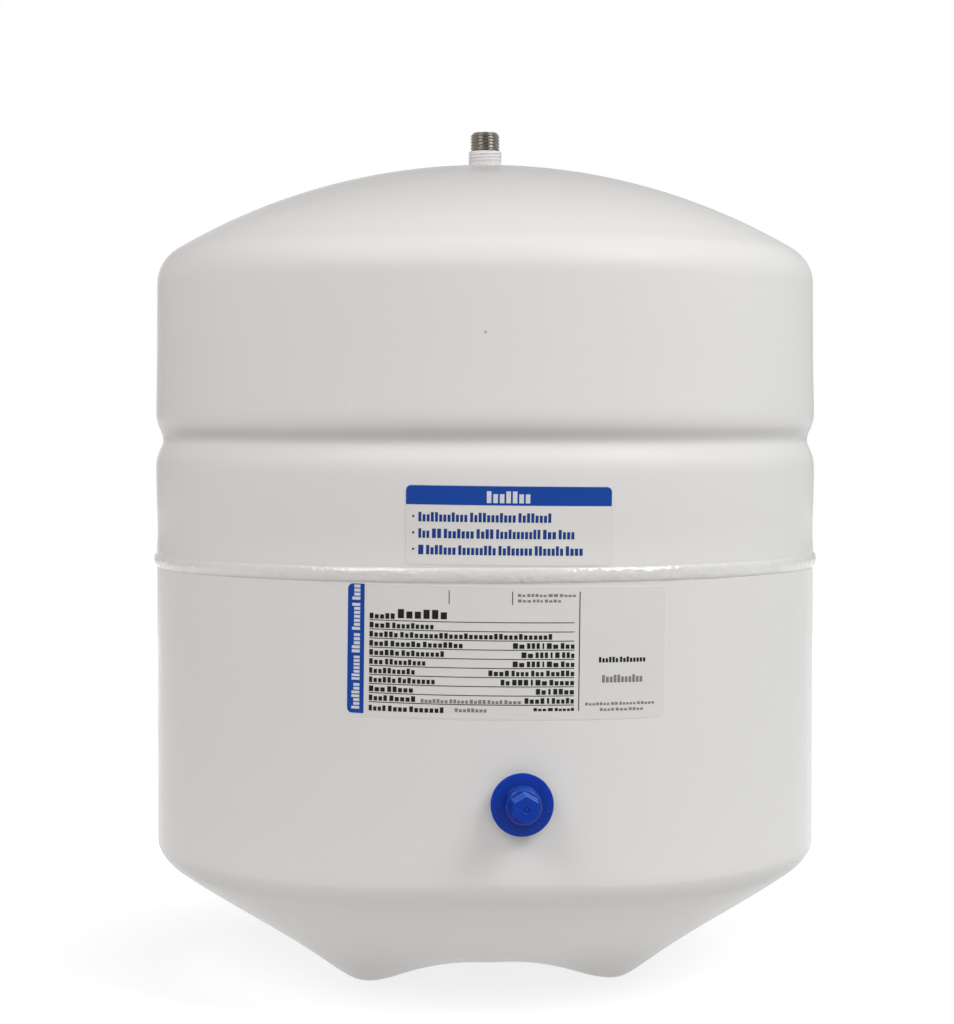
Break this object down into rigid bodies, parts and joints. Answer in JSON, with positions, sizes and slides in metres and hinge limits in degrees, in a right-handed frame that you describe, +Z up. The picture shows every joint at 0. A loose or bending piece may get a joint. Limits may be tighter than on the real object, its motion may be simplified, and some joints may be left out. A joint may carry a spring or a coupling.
{
  "type": "reverse osmosis storage tank",
  "caption": "Free-standing painted steel pressure tank that stores purified water against air, with a diaphragm, a threaded nipple on top, a capped air valve and pressed feet.",
  "frame": {"origin": "on the vessel's axis, on the ground between the three feet", "axes": "+Z up along the vessel's axis, towards the water nipple; -Y towards the air valve; +X to the right when the valve is faced"},
  "size_m": [0.2822, 0.3002, 0.3572],
  "materials": {
    "paint": "gloss white paint over drawn steel",
    "liner_plastic": "natural moulded polypropylene",
    "rubber": "matt black butyl rubber",
    "plated_steel": "zinc plated",
    "white_plastic": "white moulded plastic, slightly translucent",
    "stainless": "turned stainless steel",
    "brass": "turned",
    "blue_plastic": "satin moulded plastic",
    "clear_film": "clear film with a plain blue band",
    "label_film": "pale silvery film with plain fields and rules"
  },
  "bodies": {
    "tank": {"upper_shell": "paint", "lower_shell": "paint", "girth_weld": "paint", "liner": "liner_plastic", "diaphragm": "rubber", "clamp_ring": "plated_steel", "nipple_bushing": "white_plastic", "water_nipple": "stainless", "port_o_ring": "rubber", "valve_stem": "brass", "valve_gasket": "rubber", "valve_washer": "plated_steel", "valve_nut": "brass", "core_body": "brass", "upper_label": "clear_film", "data_label": "label_film"},
    "core_plunger": {"core_pin": "brass", "core_spring": "plated_steel", "core_seal": "rubber"},
    "cap_carrier": {"cap_seal": "rubber"},
    "cap": {"valve_cap": "blue_plastic"}
  },
  "joints": [
    {"name": "pin_press", "type": "slide", "parent": "tank", "child": "core_plunger", "axis": [0, 1, 0], "range_m": [0, 0.0015], "stiffness_N_per_m": 2000, "springref_m": -0.0005},
    {"name": "cap_travel", "type": "slide", "parent": "tank", "child": "cap_carrier", "axis": [0, -1, 0], "range_m": [0, 0.00635]},
    {"name": "cap_turn", "type": "hinge", "parent": "cap_carrier", "child": "cap", "pos_m": [0, -0.15, 0.088], "axis": [0, -1, 0], "range_deg": [0, 2880]}
  ],
  "couplings": [
    {"joint": "cap_travel", "follows": "cap_turn", "m_per_rad": 0.00012633}
  ]
}
